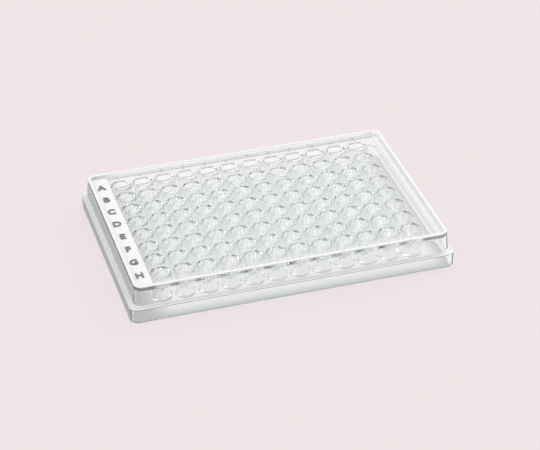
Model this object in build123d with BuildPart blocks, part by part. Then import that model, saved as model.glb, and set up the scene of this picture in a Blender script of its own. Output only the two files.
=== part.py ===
"""A flat-bottom 96-well plate, moulded in one piece from clear plastic.

Lengths are in millimetres. The origin is the centre of the footprint, on the plane
that the skirt stands on. +X runs along the twelve columns, +Y points from row H to
row A, and +Z points up, out of the wells.
"""

import os
from math import atan2, degrees, radians, tan

from build123d import *

# Footprint and height, as plate handlers and readers expect them
plate_length = 127.76
plate_width = 85.48
plate_height = 14.35
corner_radius = 3.18

# Skirt: the broad foot that a gripper holds, with a ledge on top of it
skirt_height = 6.1
skirt_wall = 1.5
ledge_width = 1.7
ledge_thickness = 1.3
ledge_chamfer = 0.35

# Upper wall: leans in from the ledge and ends in the rim that a lid sits on
upper_wall = 1.2
upper_lean = 0.6
upper_corner_radius = 3.0
rim_chamfer = 0.3

# Deck: the sheet that joins the tops of the wells, sunk below the rim
deck_depth = 1.3
deck_thickness = 1.2

# Wells: wider at the mouth than at the floor, so that the moulding draws off its pins
columns = 12
rows = 8
pitch = 9.0
well_mouth_diameter = 6.86
well_floor_diameter = 6.4
well_wall = 0.9
well_floor_height = 3.4
well_floor_thickness = 1.1

# Flats that stand in for the round walls of each well, inside and outside. They touch
# the true cones, which on this many wells would take nearly three times the facets.
well_flats = 16
outside_flats = 12

# Heights, insets and radii that follow from them
deck_top = plate_height - deck_depth
deck_under = deck_top - deck_thickness
well_foot = well_floor_height - well_floor_thickness
well_depth = deck_top - well_floor_height
well_draft = degrees(atan2((well_mouth_diameter - well_floor_diameter) / 2, well_depth))
ledge_under = skirt_height - ledge_thickness
upper_height = plate_height - skirt_height
upper_draft = degrees(atan2(upper_lean, upper_height))
rim_inset = ledge_width + upper_lean + upper_wall
hollow_inset = ledge_width + upper_wall
upper_inner_radius = upper_corner_radius - upper_wall


def inset_footprint(inset, radius):
    """The footprint's rectangle, smaller by an inset on every side."""
    return RectangleRounded(plate_length - 2 * inset, plate_width - 2 * inset, radius)


def well_diameter_at(height):
    """The inside diameter of a well at a height, by its draft."""
    return well_mouth_diameter - 2 * (deck_top - height) * tan(radians(well_draft))


def well_form(top, foot, wall, flats):
    """One well's inside, or its outside if a wall is added to it.

    It is drawn mouth down, because a taper narrows on its way up, and then turned over.
    """
    with BuildPart() as form:
        with BuildSketch():
            radius = well_diameter_at(top) / 2 + wall
            RegularPolygon(radius, flats, major_radius=False, rotation=180 / flats)
        extrude(amount=top - foot, taper=well_draft)
    return form.part.moved(Location((0, 0, top), (180, 0, 0)))


well_outside = well_form(deck_under + deck_thickness / 2, well_foot, well_wall, outside_flats)
well_inside = well_form(deck_top, well_floor_height, 0, well_flats)


with BuildPart() as well_plate:
    # Skirt, still solid
    with BuildSketch():
        inset_footprint(0, corner_radius)
    extrude(amount=skirt_height)
    chamfer(well_plate.edges().group_by(Axis.Z)[-1], ledge_chamfer)

    # Upper wall, still solid
    with BuildSketch(Plane.XY.offset(skirt_height)):
        inset_footprint(ledge_width, upper_corner_radius)
    extrude(amount=upper_height, taper=upper_draft)

    # Deck, sunk inside the rim
    with BuildSketch(Plane.XY.offset(plate_height)):
        inset_footprint(rim_inset, upper_inner_radius)
    extrude(amount=-deck_depth, mode=Mode.SUBTRACT)
    chamfer(well_plate.edges().group_by(Axis.Z)[-1], rim_chamfer)

    # Hollow of the skirt, then the narrower hollow behind the upper wall
    with BuildSketch():
        inset_footprint(skirt_wall, corner_radius - skirt_wall)
    extrude(amount=ledge_under, mode=Mode.SUBTRACT)
    with BuildSketch(Plane.XY.offset(ledge_under)):
        inset_footprint(hollow_inset, upper_inner_radius)
    extrude(amount=deck_under - ledge_under, taper=upper_draft, mode=Mode.SUBTRACT)

    # Outside of every well, from its foot up into the deck
    with GridLocations(pitch, pitch, columns, rows):
        add(well_outside)

    # Wells, open at the deck and flat at the bottom
    with GridLocations(pitch, pitch, columns, rows):
        add(well_inside, mode=Mode.SUBTRACT)

well_plate.part.label = "well_plate"
os.makedirs("parts", exist_ok=True)
export_step(well_plate.part, "parts/well_plate.step")
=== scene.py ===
"""The looks of a clear, one-piece 96-well plate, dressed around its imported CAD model.

The plate is one moulding, so it is one closed mesh, and the row letters and column numbers
stand on its deck. Sizes are millimetres, as on a drawing of such a plate, and turn into
metres where a mesh is made. The floor's size, the lamp and the camera are in metres.
"""

from math import cos, pi, radians, sin

import bmesh
import bpy
from mathutils import Matrix, Vector


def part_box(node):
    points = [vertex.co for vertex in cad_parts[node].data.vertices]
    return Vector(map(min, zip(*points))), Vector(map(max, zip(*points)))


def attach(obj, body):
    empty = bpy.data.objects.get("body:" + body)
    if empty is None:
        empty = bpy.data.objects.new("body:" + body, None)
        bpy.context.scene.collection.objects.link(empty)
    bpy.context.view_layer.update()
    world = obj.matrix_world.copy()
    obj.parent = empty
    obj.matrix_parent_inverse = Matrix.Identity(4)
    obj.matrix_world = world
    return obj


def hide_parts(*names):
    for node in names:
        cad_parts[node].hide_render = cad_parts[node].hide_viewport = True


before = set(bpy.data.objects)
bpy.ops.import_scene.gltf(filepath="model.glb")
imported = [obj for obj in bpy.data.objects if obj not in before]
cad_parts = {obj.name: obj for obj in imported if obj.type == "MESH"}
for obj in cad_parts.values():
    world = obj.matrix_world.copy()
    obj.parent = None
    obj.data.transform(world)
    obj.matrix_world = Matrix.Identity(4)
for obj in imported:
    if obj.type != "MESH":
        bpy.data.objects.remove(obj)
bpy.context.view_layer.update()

# ---------------------------------------------------------------------------
# Sizes
# ---------------------------------------------------------------------------

MM = 0.001
low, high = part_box("well_plate")
LENGTH = (high.x - low.x) / MM
WIDTH = (high.y - low.y) / MM
HEIGHT = (high.z - low.z) / MM

# The shell and its deck
CORNER_RADIUS = 3.18
SKIRT_HEIGHT = 6.1
SKIRT_WALL = 1.5
LEDGE_WIDTH = 1.7
LEDGE_THICKNESS = 1.3
UPPER_WALL = 1.2
UPPER_LEAN = 0.6
UPPER_RADIUS = 3.0
DECK_DEPTH = 1.3
DECK_THICKNESS = 1.2

# The wells, each with a ring round its mouth and a cup below the deck
COLUMNS = 12
ROWS = 8
PITCH = 9.0
MOUTH_RADIUS = 3.43
FLOOR_RADIUS = 3.2
WELL_FLOOR = 3.4
WELL_FOOT = 2.3
CUP_WALL_TOP = 0.82
CUP_WALL_FOOT = 0.9
RING_WIDTH = 0.62
RING_HEIGHT = 0.3
RING_DRAFT = 0.04

# The softened edges of a well
RING_FOOT_BEVEL = 0.1
RING_BEVEL = 0.12
MOUTH_BEVEL = 0.14
MOUTH_BEVEL_DEPTH = 0.16
FLOOR_ROUND = 0.35
FLOOR_ROUND_MIDDLE = 0.1
FLOOR_ROUND_DRAFT = 0.01
CUP_FLARE = 0.2
CUP_FLARE_DEPTH = 0.25

# The inner edge of the frosted strip of deck inside the rim: inset from the footprint, corner
# radius, and how much wider the strip is at the right
STRIP_INSET = 4.5
STRIP_RADIUS = 0.2
STRIP_WIDER_RIGHT = 1.0

# The characters: height, how much their strokes are thickened, and inset from the footprint
ROW_LETTERS = "ABCDEFGH"
ROW_LETTER_HEIGHT = 4.6
ROW_LETTER_WEIGHT = 0.1
ROW_LETTER_INSET = 6.35
NUMBER_HEIGHT = 2.6
NUMBER_WEIGHT = 0.06
NUMBER_INSET = 5.35
LETTER_RISE = 0.3
LETTER_SINK = 0.06

# Steps along a side of a well's cell, round a corner of the plate and along a letter's curves
SIDE_STEPS = 10
CORNER_STEPS = 7
LETTER_STEPS = 3
SHARP_ANGLE = radians(40)

# How near two places lie that count as one: decimals of a millimetre, and millimetres
PLACE_DIGITS = 5
LEVEL_REACH = 0.01
WELD_REACH = 0.01

# What follows from the sizes above
FIELD_LENGTH = COLUMNS * PITCH
FIELD_WIDTH = ROWS * PITCH
DECK_TOP = HEIGHT - DECK_DEPTH
DECK_UNDER = DECK_TOP - DECK_THICKNESS
LEDGE_UNDER = SKIRT_HEIGHT - LEDGE_THICKNESS
RIM_OUTSIDE = LEDGE_WIDTH + UPPER_LEAN
RIM_INSIDE = RIM_OUTSIDE + UPPER_WALL
HOLLOW_INSET = LEDGE_WIDTH + UPPER_WALL
SKIRT_RADIUS = CORNER_RADIUS - SKIRT_WALL
INNER_RADIUS = UPPER_RADIUS - UPPER_WALL
RING_RADIUS = MOUTH_RADIUS + RING_WIDTH
RING_TOP = DECK_TOP + RING_HEIGHT
CUP_RADIUS = MOUTH_RADIUS + CUP_WALL_TOP
CUP_FOOT_RADIUS = FLOOR_RADIUS + CUP_WALL_FOOT

# The finishes, in the order of the plate's materials
CLEAR, SATIN, FROSTED = range(3)


# ---------------------------------------------------------------------------
# Sections of the plate and of its wells
# ---------------------------------------------------------------------------

# The plate outside its wells, as a line of points from the deck over the rim and the ledge to
# the foot, and on up the hollow. A point is an inset from the footprint, a corner radius and a
# height. Three points round each corner of the line, and the small lengths say how far from
# the corner they lie.
RIM_FOOT = [
    (RIM_INSIDE + 0.30, INNER_RADIUS - 0.30, DECK_TOP),
    (RIM_INSIDE + 0.09, INNER_RADIUS - 0.09, DECK_TOP + 0.09),
    (RIM_INSIDE, INNER_RADIUS, DECK_TOP + 0.30),
]
RIM_TOP = [
    (RIM_INSIDE, INNER_RADIUS, HEIGHT - 0.28),
    (RIM_INSIDE - 0.08, INNER_RADIUS + 0.08, HEIGHT - 0.08),
    (RIM_INSIDE - 0.28, INNER_RADIUS + 0.28, HEIGHT),
    (RIM_OUTSIDE + 0.28, UPPER_RADIUS - 0.28, HEIGHT),
    (RIM_OUTSIDE + 0.08, UPPER_RADIUS - 0.08, HEIGHT - 0.08),
    (RIM_OUTSIDE, UPPER_RADIUS, HEIGHT - 0.28),
]
LEDGE_TOP = [
    (LEDGE_WIDTH + 0.02, UPPER_RADIUS, SKIRT_HEIGHT + 0.30),
    (LEDGE_WIDTH - 0.08, UPPER_RADIUS + 0.08, SKIRT_HEIGHT + 0.08),
    (LEDGE_WIDTH - 0.30, UPPER_RADIUS + 0.10, SKIRT_HEIGHT),
    (0.36, CORNER_RADIUS - 0.30, SKIRT_HEIGHT),
    (0.10, CORNER_RADIUS - 0.10, SKIRT_HEIGHT - 0.10),
    (0.00, CORNER_RADIUS, SKIRT_HEIGHT - 0.36),
]
FOOT = [
    (0.00, CORNER_RADIUS, 0.22),
    (0.07, CORNER_RADIUS - 0.07, 0.06),
    (0.24, CORNER_RADIUS - 0.24, 0.00),
    (SKIRT_WALL - 0.22, SKIRT_RADIUS + 0.22, 0.00),
    (SKIRT_WALL - 0.06, SKIRT_RADIUS + 0.06, 0.06),
    (SKIRT_WALL, SKIRT_RADIUS, 0.22),
]
LEDGE_HOLLOW = [
    (SKIRT_WALL, SKIRT_RADIUS, LEDGE_UNDER - 0.25),
    (SKIRT_WALL + 0.07, SKIRT_RADIUS - 0.05, LEDGE_UNDER - 0.07),
    (SKIRT_WALL + 0.25, SKIRT_RADIUS - 0.10, LEDGE_UNDER),
    (HOLLOW_INSET - 0.25, INNER_RADIUS + 0.10, LEDGE_UNDER),
    (HOLLOW_INSET - 0.07, INNER_RADIUS + 0.05, LEDGE_UNDER + 0.07),
    (HOLLOW_INSET, INNER_RADIUS, LEDGE_UNDER + 0.25),
]
DECK_HOLLOW = [
    (HOLLOW_INSET + UPPER_LEAN - 0.10, INNER_RADIUS, DECK_UNDER - 0.40),
    (HOLLOW_INSET + UPPER_LEAN + 0.08, INNER_RADIUS - 0.12, DECK_UNDER - 0.12),
    (HOLLOW_INSET + UPPER_LEAN + 0.40, INNER_RADIUS - 0.40, DECK_UNDER),
]

# A well from its ring down to its floor, and the cup round it. A point is a radius and a height.
WELL_SECTION = [
    (RING_RADIUS + RING_FOOT_BEVEL, DECK_TOP),
    (RING_RADIUS, DECK_TOP + RING_FOOT_BEVEL),
    (RING_RADIUS - RING_DRAFT, RING_TOP - RING_BEVEL),
    (RING_RADIUS - RING_DRAFT - RING_BEVEL, RING_TOP),
    (MOUTH_RADIUS + MOUTH_BEVEL, RING_TOP),
    (MOUTH_RADIUS, RING_TOP - MOUTH_BEVEL_DEPTH),
    (FLOOR_RADIUS + FLOOR_ROUND_DRAFT, WELL_FLOOR + FLOOR_ROUND),
    (FLOOR_RADIUS - FLOOR_ROUND_MIDDLE, WELL_FLOOR + FLOOR_ROUND_MIDDLE),
    (FLOOR_RADIUS - FLOOR_ROUND, WELL_FLOOR),
]
CUP_SECTION = [
    (CUP_RADIUS + CUP_FLARE, DECK_UNDER),
    (CUP_RADIUS, DECK_UNDER - CUP_FLARE_DEPTH),
    (CUP_FOOT_RADIUS, WELL_FOOT + FLOOR_ROUND),
    (CUP_FOOT_RADIUS - FLOOR_ROUND_MIDDLE, WELL_FOOT + FLOOR_ROUND_MIDDLE),
    (CUP_FOOT_RADIUS - FLOOR_ROUND, WELL_FOOT),
]


# ---------------------------------------------------------------------------
# Mesh of the plate
# ---------------------------------------------------------------------------

class Surface:
    """Points and faces of a mesh, where a point that comes again is used again."""

    def __init__(self):
        self.points = []
        self.faces = []
        self.finishes = []
        self.known = {}

    def point(self, *place):
        """The number of the point at a place, added if there is none."""
        key = tuple(round(length, PLACE_DIGITS) for length in place)
        if key not in self.known:
            self.known[key] = len(self.points)
            self.points.append(Vector(place) * MM)
        return self.known[key]

    def loop(self, places):
        """The numbers of the points at some places."""
        return [self.point(*place) for place in places]

    def face(self, corners, finish):
        """Adds a face, without the corners that repeat the one before them."""
        kept = [corner for i, corner in enumerate(corners) if corner != corners[i - 1]]
        if len(kept) > 2:
            self.faces.append(kept)
            self.finishes.append(finish)

    def bridge(self, inner, outer, finish=CLEAR):
        """Adds the faces between two loops of as many points, both counter-clockwise."""
        for i in range(len(inner)):
            self.face((inner[i - 1], outer[i - 1], outer[i], inner[i]), finish)

    def stack(self, loops, finish=CLEAR):
        """Bridges each loop to the next."""
        for inner, outer in zip(loops, loops[1:]):
            self.bridge(inner, outer, finish)

    def fan(self, loop, centre):
        """Fills a loop with triangles round a point in its middle."""
        for i in range(len(loop)):
            self.face((centre, loop[i - 1], loop[i]), CLEAR)

    def frost_letter_margin(self):
        """Frosts all of the deck to the left of the wells, where the row letters stand."""
        for number, corners in enumerate(self.faces):
            middle = sum((self.points[corner] for corner in corners), Vector()) / len(corners) / MM
            if middle.x < -FIELD_LENGTH / 2 and abs(middle.z - DECK_TOP) < LEVEL_REACH:
                self.finishes[number] = FROSTED

    def mesh(self, name):
        """The mesh, smooth but for its sharp edges."""
        made = bpy.data.meshes.new(name)
        made.from_pydata(self.points, [], self.faces)
        made.polygons.foreach_set("material_index", self.finishes)
        made.polygons.foreach_set("use_smooth", [True] * len(self.faces))
        made.validate()
        made.set_sharp_from_angle(angle=SHARP_ANGLE)
        return made


def steps(start, end, count):
    """Evenly spaced values from start to end, both of them among the values."""
    return [start + (end - start) * i / count for i in range(count + 1)]


def rectangle(half_x, half_y, radius, z):
    """A rounded rectangle, counter-clockwise, with a point beside each point of the cells."""
    xs = steps(-FIELD_LENGTH / 2, FIELD_LENGTH / 2, COLUMNS * SIDE_STEPS)
    ys = steps(-FIELD_WIDTH / 2, FIELD_WIDTH / 2, ROWS * SIDE_STEPS)
    sides = (
        [(x, -half_y) for x in xs],
        [(half_x, y) for y in ys],
        [(-x, half_y) for x in xs],
        [(-half_x, -y) for y in ys],
    )
    corners = ((1, -1), (1, 1), (-1, 1), (-1, -1))
    places = []
    for quarter, (side, (right, back)) in enumerate(zip(sides, corners)):
        places += side
        for turn in steps(quarter * pi / 2 - pi / 2, quarter * pi / 2, CORNER_STEPS):
            places.append((
                right * (half_x - radius) + radius * cos(turn),
                back * (half_y - radius) + radius * sin(turn),
            ))
    return [(x, y, z) for x, y in places]


def outline(inset, radius, z):
    """The plate's outline, moved in from its footprint."""
    return rectangle(LENGTH / 2 - inset, WIDTH / 2 - inset, radius, z)


def field_edge(z):
    """The edge of the field that the wells' cells fill."""
    return rectangle(FIELD_LENGTH / 2, FIELD_WIDTH / 2, 0, z)


def strip_edge():
    """The inner edge of the frosted strip, which is wider at the right."""
    places = outline(STRIP_INSET, STRIP_RADIUS, DECK_TOP)
    return [(x - STRIP_WIDER_RIGHT if x > 0 else x, y, z) for x, y, z in places]


def cell_edge(x, y, z):
    """The square round one well, from its back right corner, counter-clockwise."""
    half = PITCH / 2
    run = steps(half, -half, SIDE_STEPS)[:-1]
    return (
        [(x + shift, y + half, z) for shift in run]
        + [(x - half, y + shift, z) for shift in run]
        + [(x - shift, y - half, z) for shift in run]
        + [(x + half, y - shift, z) for shift in run]
    )


def circle(x, y, radius, z):
    """A ring with a point for each point of a cell's edge."""
    turns = steps(pi / 4, pi / 4 + 2 * pi, 4 * SIDE_STEPS)[:-1]
    return [(x + radius * cos(turn), y + radius * sin(turn), z) for turn in turns]


def well_places():
    """Centre of each well, with its row and column, from A1 at the back left."""
    for row in range(ROWS):
        for column in range(COLUMNS):
            x = (column - (COLUMNS - 1) / 2) * PITCH
            y = ((ROWS - 1) / 2 - row) * PITCH
            yield x, y, row, column


def add_well(surface, x, y):
    """Adds a well in its cell: the ring and the inside above, and the cup below the deck."""
    inside = [surface.loop(circle(x, y, radius, z)) for radius, z in WELL_SECTION]
    surface.bridge(inside[0], surface.loop(cell_edge(x, y, DECK_TOP)), SATIN)
    surface.stack(inside[::-1])
    surface.fan(inside[-1], surface.point(x, y, WELL_FLOOR))
    cup = [surface.loop(circle(x, y, radius, z)) for radius, z in CUP_SECTION]
    surface.bridge(surface.loop(cell_edge(x, y, DECK_UNDER)), cup[0])
    surface.stack(cup)
    surface.fan(cup[-1][::-1], surface.point(x, y, WELL_FOOT))


def plate_mesh():
    """The whole moulding: the deck, the stretches round it, the deck's underside, the wells."""
    surface = Surface()
    last = surface.loop(strip_edge())
    surface.bridge(surface.loop(field_edge(DECK_TOP)), last)
    # Each stretch, after the finish of what leads to it from the one before
    stretches = (
        (FROSTED, RIM_FOOT, CLEAR),
        (CLEAR, RIM_TOP, FROSTED),
        (CLEAR, LEDGE_TOP, FROSTED),
        (CLEAR, FOOT, CLEAR),
        (CLEAR, LEDGE_HOLLOW, CLEAR),
        (CLEAR, DECK_HOLLOW, CLEAR),
    )
    for finish_before, section, finish in stretches:
        loops = [surface.loop(outline(*point)) for point in section]
        surface.bridge(last, loops[0], finish_before)
        surface.stack(loops, finish)
        last = loops[-1]
    surface.bridge(last, surface.loop(field_edge(DECK_UNDER)))
    surface.frost_letter_margin()
    for x, y, _, _ in well_places():
        add_well(surface, x, y)
    return surface.mesh("well_plate_moulding")


# ---------------------------------------------------------------------------
# Pieces
# ---------------------------------------------------------------------------

def piece(name, mesh, materials):
    """A new object in the scene, whose faces name their material by its place in the list."""
    made = bpy.data.objects.new(name, mesh)
    bpy.context.scene.collection.objects.link(made)
    for material in materials:
        mesh.materials.append(material)
    return made


def close_form(mesh):
    """Joins points that lie in one place, and evens out the triangles of the level ends."""
    form = bmesh.new()
    form.from_mesh(mesh)
    bmesh.ops.remove_doubles(form, verts=form.verts, dist=WELD_REACH * MM)
    ends = [
        face for face in form.faces
        if len({round(vert.co.z / MM, PLACE_DIGITS) for vert in face.verts}) == 1
    ]
    across = [edge for edge in form.edges if all(face in ends for face in edge.link_faces)]
    bmesh.ops.beautify_fill(form, faces=ends, edges=across, method="AREA")
    bmesh.ops.recalc_face_normals(form, faces=form.faces)
    form.to_mesh(mesh)
    form.free()


def lettering(name, text, height, weight, x, y, material):
    """A raised character that stands on the deck, with its foot a little way into it."""
    font = bpy.data.curves.new(name, "FONT")
    font.body = text
    font.size = height * MM
    font.align_x = "CENTER"
    font.align_y = "CENTER"
    font.resolution_u = LETTER_STEPS
    font.offset = weight * MM
    font.extrude = (LETTER_RISE + LETTER_SINK) * MM / 2
    drawn = bpy.data.objects.new(name, font)
    bpy.context.scene.collection.objects.link(drawn)
    bpy.context.view_layer.update()
    mesh = bpy.data.meshes.new_from_object(drawn)
    bpy.data.objects.remove(drawn)
    mesh.name = name
    middle = DECK_TOP + (LETTER_RISE - LETTER_SINK) / 2
    mesh.transform(Matrix.Translation(Vector((x, y, middle)) * MM))
    close_form(mesh)
    mesh.materials.clear()
    return piece(name, mesh, [material])


def row_letter(row, y, material):
    """A row's letter, on the frosted margin to the left of the wells."""
    return lettering(
        f"row_letter_{row + 1}", ROW_LETTERS[row], ROW_LETTER_HEIGHT, ROW_LETTER_WEIGHT,
        ROW_LETTER_INSET - LENGTH / 2, y, material,
    )


def column_number(column, x, material):
    """A column's number, small and pale, between the wells and the rim at the back."""
    return lettering(
        f"column_number_{column + 1}", str(column + 1), NUMBER_HEIGHT, NUMBER_WEIGHT,
        x, WIDTH / 2 - NUMBER_INSET, material,
    )


# ---------------------------------------------------------------------------
# Materials
# ---------------------------------------------------------------------------

# Polystyrene: how it bends light, and the faint tint of its depth
POLYSTYRENE_IOR = 1.59
TINT = (0.50, 0.66, 0.63)
TINT_DENSITY = 6.0

NATURAL = (0.992, 0.996, 0.995)
FROST_WHITE = (0.985, 0.99, 0.988)
LETTER_GREY = (0.45, 0.49, 0.48)
NUMBER_GREY = (0.80, 0.82, 0.815)

# Slow ripples of flow, with their depth in millimetres, and a fine haze
FLOW_SCALE = 90.0
FLOW_DETAIL = 2.0
RIPPLE_DEPTH = 0.2
HAZE_SCALE = 420.0
HAZE_DETAIL = 4.0


def new_material(name):
    """A new material, with its nodes, its links and its Principled shader."""
    made = bpy.data.materials.new(name)
    made.use_nodes = True
    nodes = made.node_tree.nodes
    return made, nodes, made.node_tree.links, nodes["Principled BSDF"]


def add(nodes, kind, **settings):
    """A new node, with its settings put into the sockets or the properties of those names."""
    made = nodes.new(kind)
    for key, value in settings.items():
        if key in made.inputs:
            made.inputs[key].default_value = value
        else:
            setattr(made, key, value)
    return made


def remapped(nodes, links, value, start, end, first=0.0, last=1.0, kind="SMOOTHSTEP"):
    """A value that goes from first to last while another goes from start to end."""
    made = add(nodes, "ShaderNodeMapRange", interpolation_type=kind)
    made.inputs["From Min"].default_value = start
    made.inputs["From Max"].default_value = end
    made.inputs["To Min"].default_value = first
    made.inputs["To Max"].default_value = last
    links.new(value, made.inputs["Value"])
    return made.outputs["Result"]


def plastic(name, colour, roughness, ripple, clearness=1.0):
    """Moulded polystyrene: slow flow ripples in the faces, and a faint haze that varies."""
    made, nodes, links, surface = new_material(name)
    place = nodes.new("ShaderNodeTexCoord")
    flow = add(nodes, "ShaderNodeTexNoise", Scale=FLOW_SCALE, Detail=FLOW_DETAIL)
    haze = add(nodes, "ShaderNodeTexNoise", Scale=HAZE_SCALE, Detail=HAZE_DETAIL)
    bump = add(nodes, "ShaderNodeBump", Strength=ripple, Distance=RIPPLE_DEPTH * MM)
    body = add(nodes, "ShaderNodeVolumeAbsorption", Color=(*TINT, 1.0), Density=TINT_DENSITY)
    spread = remapped(nodes, links, haze.outputs["Fac"], 0.0, 1.0, *roughness, kind="LINEAR")
    links.new(place.outputs["Object"], flow.inputs["Vector"])
    links.new(place.outputs["Object"], haze.inputs["Vector"])
    links.new(spread, surface.inputs["Roughness"])
    links.new(flow.outputs["Fac"], bump.inputs["Height"])
    links.new(bump.outputs["Normal"], surface.inputs["Normal"])
    links.new(body.outputs["Volume"], nodes["Material Output"].inputs["Volume"])
    surface.inputs["Base Color"].default_value = (*colour, 1.0)
    surface.inputs["IOR"].default_value = POLYSTYRENE_IOR
    surface.inputs["Transmission Weight"].default_value = clearness
    return made


# ---------------------------------------------------------------------------
# Floor, light and camera
# ---------------------------------------------------------------------------

# Colours of the light, of the backdrop, and of what plastic shows of the studio and the floor
WHITE = (1.0, 1.0, 1.0)
BACKGROUND = (0.871, 0.791, 0.799)
STUDIO = (0.95, 0.955, 0.955)
BESIDE_TONE = (1.0, 0.975, 0.975)
# Painted shade: the greenish tone of the darker floor under the plate's front edge, which only plastic
# shows
FRONT_SHADE_TONE = (0.88, 0.955, 0.94)

# The studio: its light, and what plastic shows of it, which is darker on one side
SKY_LEVEL = 0.91
STUDIO_LEVEL = 0.82
DARK_SIDE = (-0.75, -0.66, 0.0)
DARK_START = 0.4
DARK_END = 1.0
DARK_LEVEL = 0.3

# The floor: the share of it that glows by itself, in view and under the plate, and how brightly
# plastic shows the floor beside the plate, with the width of the change; in reflections that
# floor is painted dark, as painted shade
VIEW_GLOW_SHARE = 0.88
UNDER_GLOW_SHARE = 0.91
BESIDE_GLOSS_SHADE = 0.3
BESIDE_GLASS_LEVEL = 1.0
BESIDE_BLUR = 0.1

# Painted shade on the floor, which only plastic shows: darker stretches near the plate's left,
# front and right edges, each from where it starts, in millimetres in from the plate's edge
LEFT_SHADE_LEVEL = 0.54
LEFT_START = 19.0
LEFT_END = 7.0
FRONT_SHADE_LEVEL = 0.52
FRONT_START = 10.0
RIGHT_SHADE_LEVEL = 0.6
RIGHT_START = 8.0

FLOOR_HALF = 6.0
FLOOR_DROP = 0.0002

# The lamp
KEY_PLACE = (0.90, 0.50, 0.80)
KEY_SIDE = 0.56
KEY_LEVEL = 3.5

# The camera: its direction and distance from the plate, and its lens, sensor and shifts
VIEW_AZIMUTH = radians(-16.7)
VIEW_ELEVATION = radians(33.85)
VIEW_ROLL = radians(-0.35)
VIEW_DISTANCE = 0.776
LENS = 131.4
SENSOR_WIDTH = 36.0
SHIFT_X = 0.0115
SHIFT_Y = 0.0172

# Enough for light to cross a whole row of clear wells
LIGHT_BOUNCES = 64


def glow(nodes, colour, strength=1.0):
    """A shader that shows as its colour times its strength, whatever light falls on it."""
    return add(nodes, "ShaderNodeEmission", Color=(*colour, 1.0), Strength=strength).outputs[0]


def matt(nodes, colour):
    """A shader that takes light and shadow as plain paper does."""
    return add(nodes, "ShaderNodeBsdfDiffuse", Color=(*colour, 1.0)).outputs[0]


def mixed(nodes, links, share, first, second):
    """A mix of two shaders. The share of the second is a number or a socket."""
    pick = nodes.new("ShaderNodeMixShader")
    if isinstance(share, float):
        pick.inputs[0].default_value = share
    else:
        links.new(share, pick.inputs[0])
    links.new(first, pick.inputs[1])
    links.new(second, pick.inputs[2])
    return pick.outputs[0]


def by_ray(nodes, links, light, in_gloss, in_glass, in_view):
    """A shader that gives light, and others for what gloss, glass and the camera show."""
    path = nodes.new("ShaderNodeLightPath")
    made = mixed(nodes, links, path.outputs["Is Glossy Ray"], light, in_gloss)
    made = mixed(nodes, links, path.outputs["Is Transmission Ray"], made, in_glass)
    return mixed(nodes, links, path.outputs["Is Camera Ray"], made, in_view)


def build_world():
    """White light all round, a grey studio in the plastic, and the backdrop in view."""
    world = bpy.data.worlds.new("studio")
    bpy.context.scene.world = world
    world.use_nodes = True
    nodes, links = world.node_tree.nodes, world.node_tree.links
    light = nodes["Background"]
    light.inputs["Color"].default_value = (*WHITE, 1.0)
    light.inputs["Strength"].default_value = SKY_LEVEL
    shown = add(nodes, "ShaderNodeBackground", Color=(*BACKGROUND, 1.0))
    studio = add(nodes, "ShaderNodeBackground", Color=(*STUDIO, 1.0))
    direction = nodes.new("ShaderNodeTexCoord")
    side = add(nodes, "ShaderNodeVectorMath", operation="DOT_PRODUCT")
    side.inputs[1].default_value = DARK_SIDE
    links.new(direction.outputs["Generated"], side.inputs[0])
    level = remapped(
        nodes, links, side.outputs["Value"], DARK_START, DARK_END, STUDIO_LEVEL, DARK_LEVEL,
    )
    links.new(level, studio.inputs["Strength"])
    made = by_ray(
        nodes, links, light.outputs[0], studio.outputs[0], studio.outputs[0], shown.outputs[0],
    )
    links.new(made, nodes["World Output"].inputs["Surface"])


def past_edge(nodes, links, place):
    """How far a place on the floor lies past the plate's edge, which is less than 0 under it."""
    farther = add(nodes, "ShaderNodeMath", operation="MAXIMUM")
    for number, (axis, size) in enumerate((("X", LENGTH), ("Y", WIDTH))):
        off_centre = add(nodes, "ShaderNodeMath", operation="ABSOLUTE")
        past = add(nodes, "ShaderNodeMath", operation="SUBTRACT")
        past.inputs[1].default_value = size / 2 * MM
        links.new(place.outputs[axis], off_centre.inputs[0])
        links.new(off_centre.outputs[0], past.inputs[0])
        links.new(past.outputs[0], farther.inputs[number])
    return farther.outputs[0]


def ramp(nodes, links, value, start, end):
    """A smooth rise from nought to one as a length goes from start to end, in millimetres."""
    return remapped(nodes, links, value, start * MM, end * MM)


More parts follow.
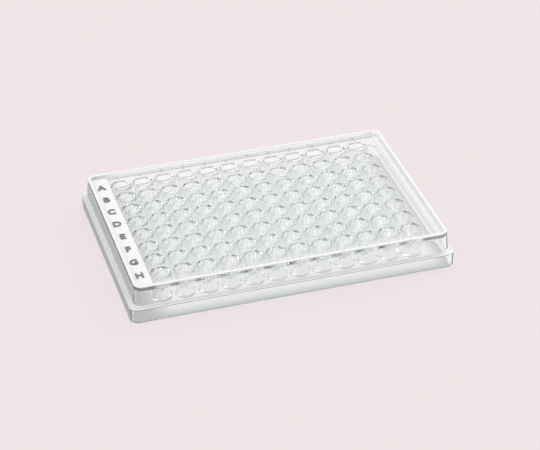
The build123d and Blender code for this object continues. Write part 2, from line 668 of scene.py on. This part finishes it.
def floor_material():
    """Plain and pale in view; where plastic shows it under the plate, painted shade darkens it by its
    place.
    """
    made, nodes, links, surface = new_material("floor")
    nodes.remove(surface)
    position = nodes.new("ShaderNodeNewGeometry")
    place = nodes.new("ShaderNodeSeparateXYZ")
    links.new(position.outputs["Position"], place.inputs[0])
    left, right, front = -LENGTH / 2, LENGTH / 2, -WIDTH / 2
    beside = ramp(nodes, links, past_edge(nodes, links, place), -BESIDE_BLUR, BESIDE_BLUR)
    # Painted shade: the floor as plastic shows it is darker near the plate's left, right and front
    # edges
    left_shade = ramp(nodes, links, place.outputs["X"], left + LEFT_START, left + LEFT_END)
    right_shade = ramp(nodes, links, place.outputs["X"], right - RIGHT_START, right)
    front_shade = ramp(nodes, links, place.outputs["Y"], front + FRONT_START, front)

    pale = matt(nodes, BACKGROUND)
    in_view = mixed(nodes, links, VIEW_GLOW_SHARE, pale, glow(nodes, BACKGROUND))
    under = mixed(nodes, links, UNDER_GLOW_SHARE, matt(nodes, STUDIO), glow(nodes, STUDIO))
    under = mixed(nodes, links, front_shade, under, glow(nodes, FRONT_SHADE_TONE, FRONT_SHADE_LEVEL))
    under = mixed(nodes, links, right_shade, under, glow(nodes, STUDIO, RIGHT_SHADE_LEVEL))
    # Painted shade: reflections in the plastic show the floor beside the plate dark
    in_gloss = mixed(nodes, links, beside, under, glow(nodes, STUDIO, BESIDE_GLOSS_SHADE))
    in_glass = mixed(nodes, links, beside, under, glow(nodes, BESIDE_TONE, BESIDE_GLASS_LEVEL))
    in_glass = mixed(nodes, links, left_shade, in_glass, glow(nodes, STUDIO, LEFT_SHADE_LEVEL))
    shader = by_ray(nodes, links, pale, in_gloss, in_glass, in_view)
    links.new(shader, nodes["Material Output"].inputs["Surface"])
    return made


def build_floor():
    """A square floor, a hair below the plate's foot."""
    signs = ((-1, -1), (1, -1), (1, 1), (-1, 1))
    corners = [(right * FLOOR_HALF, back * FLOOR_HALF, 0) for right, back in signs]
    mesh = bpy.data.meshes.new("floor")
    mesh.from_pydata(corners, [], [range(len(corners))])
    floor = piece("floor", mesh, [floor_material()])
    floor.location.z = -FLOOR_DROP


def build_key_light():
    """A square softbox above the back right, as bright in a reflection as its level says."""
    light = bpy.data.lights.new("key", "AREA")
    light.shape = "RECTANGLE"
    light.size = KEY_SIDE
    light.size_y = KEY_SIDE
    light.energy = KEY_LEVEL * pi * KEY_SIDE ** 2
    lamp = bpy.data.objects.new("key", light)
    bpy.context.scene.collection.objects.link(lamp)
    lamp.location = KEY_PLACE
    lamp.rotation_euler = (-Vector(KEY_PLACE)).to_track_quat("-Z", "Y").to_euler()


def build_camera():
    """The photograph's view: from the front, a little to the left, and from above."""
    back = Vector((
        sin(VIEW_AZIMUTH) * cos(VIEW_ELEVATION),
        -cos(VIEW_AZIMUTH) * cos(VIEW_ELEVATION),
        sin(VIEW_ELEVATION),
    ))
    level = Vector((0, 0, 1)).cross(back).normalized()
    upright = back.cross(level)
    right = cos(VIEW_ROLL) * level + sin(VIEW_ROLL) * upright
    up = back.cross(right)
    axes = Matrix((right, up, back)).transposed().to_4x4()
    camera = bpy.data.objects.new("camera", bpy.data.cameras.new("camera"))
    bpy.context.scene.collection.objects.link(camera)
    camera.matrix_world = Matrix.Translation(back * VIEW_DISTANCE) @ axes
    camera.data.lens = LENS
    camera.data.sensor_width = SENSOR_WIDTH
    camera.data.shift_x = SHIFT_X
    camera.data.shift_y = SHIFT_Y
    bpy.context.scene.camera = camera


# ---------------------------------------------------------------------------
# The scene
# ---------------------------------------------------------------------------

clear = plastic("polished_polystyrene", NATURAL, roughness=(0.01, 0.04), ripple=0.02)
satin = plastic("satin_polystyrene", NATURAL, roughness=(0.10, 0.18), ripple=0.05, clearness=0.8)
frosted = plastic("frosted_polystyrene", FROST_WHITE, roughness=(0.25, 0.4), ripple=0.1, clearness=0.05)
letter_plastic = plastic("letter_polystyrene", LETTER_GREY, roughness=(0.15, 0.3), ripple=0.2)
number_plastic = plastic(
    "number_polystyrene", NUMBER_GREY, roughness=(0.15, 0.3), ripple=0.2, clearness=0.1,
)

plate = piece("well_plate_moulding", plate_mesh(), [clear, satin, frosted])
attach(plate, "root")
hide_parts("well_plate")

labels = []
for x, y, row, column in well_places():
    if column == 0:
        labels.append(row_letter(row, y, letter_plastic))
    if row == 0:
        labels.append(column_number(column, x, number_plastic))
for label in labels:
    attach(label, "root")

build_world()
build_floor()
build_key_light()
build_camera()

scene = bpy.context.scene
scene.view_settings.view_transform = "Standard"
scene.cycles.max_bounces = LIGHT_BOUNCES
scene.cycles.transmission_bounces = LIGHT_BOUNCES
scene.cycles.glossy_bounces = LIGHT_BOUNCES
